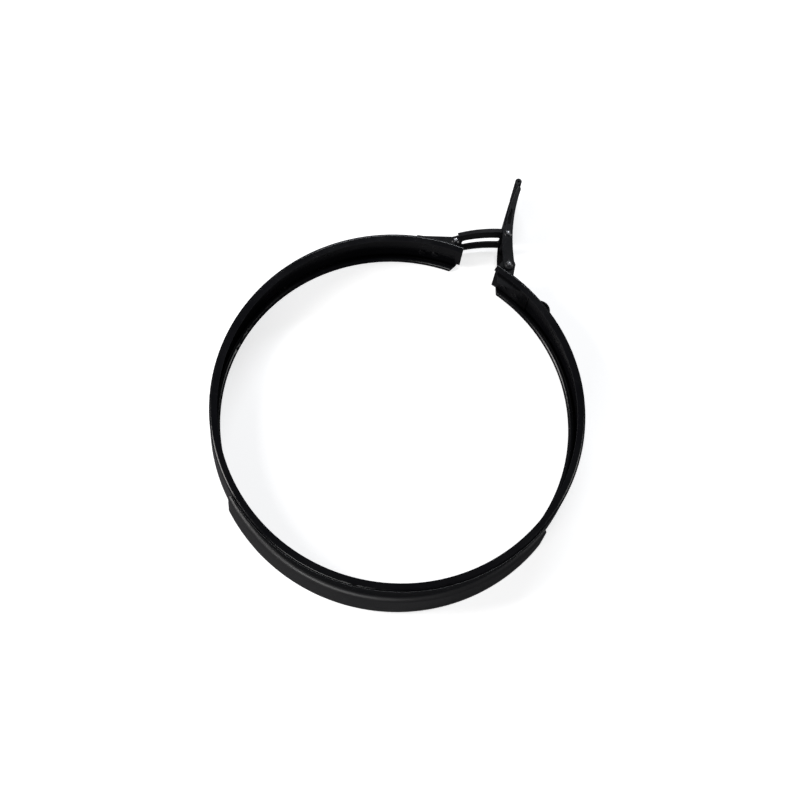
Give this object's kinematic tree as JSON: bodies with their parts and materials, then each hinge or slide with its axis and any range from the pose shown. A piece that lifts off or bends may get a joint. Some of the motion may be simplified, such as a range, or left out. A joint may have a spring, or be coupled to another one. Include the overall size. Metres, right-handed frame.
{
  "type": "hose clamp",
  "caption": "Channel-section ring clamp for a large hose, with an over-centre lever latch, hooked link and covered spring hinge, shown unlatched.",
  "frame": {"origin": "centre of the ring, at mid height of the band", "axes": "+Z along the ring axis, towards the plain flange; +Y towards the latch gap; -Y towards the hinge; +X towards the band that carries the lever"},
  "size_m": [0.305, 0.3917, 0.042],
  "materials": {
    "band_paint": "gloss black enamel",
    "latch_paint": "semi-gloss black enamel",
    "rivet_paint": "gloss black over steel",
    "worn_rivet": "steel with the black worn off the head",
    "bare_steel": "bare drawn steel",
    "lip_wire": "dark drawn wire with black on its ends",
    "spring_steel": "blued spring steel",
    "cover_rubber": "satin moulded rubber"
  },
  "bodies": {
    "right_half": {"right_band": "band_paint", "right_lip_wire": "lip_wire", "joining_strap": "spring_steel", "strap_rivets_right": "bare_steel", "hinge_cover": "cover_rubber", "latch_bracket": "latch_paint", "latch_bracket_rivets": "rivet_paint", "lever_pivot_rivets": "worn_rivet", "security_loop": "latch_paint"},
    "left_half": {"left_band": "band_paint", "left_lip_wire": "lip_wire", "strap_rivets_left": "bare_steel", "anchor_bracket": "latch_paint", "anchor_bracket_rivets": "rivet_paint", "anchor_pin": "worn_rivet"},
    "lever": {"lever": "latch_paint", "link_pin": "worn_rivet"},
    "link": {"link": "latch_paint"}
  },
  "joints": [
    {"name": "lever_swing", "type": "hinge", "parent": "right_half", "child": "lever", "pos_m": [0.02444, 0.1561, 0], "axis": [0, 0, 1], "range_deg": [-133, 0]},
    {"name": "link_swing", "type": "hinge", "parent": "lever", "child": "link", "pos_m": [0.01174, 0.18107, 0], "axis": [0, 0, 1], "range_deg": [0, 88.4]},
    {"name": "band_flex", "type": "hinge", "parent": "right_half", "child": "left_half", "pos_m": [0, -0.1443, 0], "axis": [0, 0, 1], "range_deg": [-6.3, 0], "stiffness_Nm_per_rad": 2, "deforming": ["joining_strap", "hinge_cover"]}
  ],
  "couplings": [
    {"joint": "link_swing", "follows": "lever_swing", "ratio": -0.66068},
    {"joint": "band_flex", "follows": "lever_swing", "ratio": 0.04549}
  ]
}
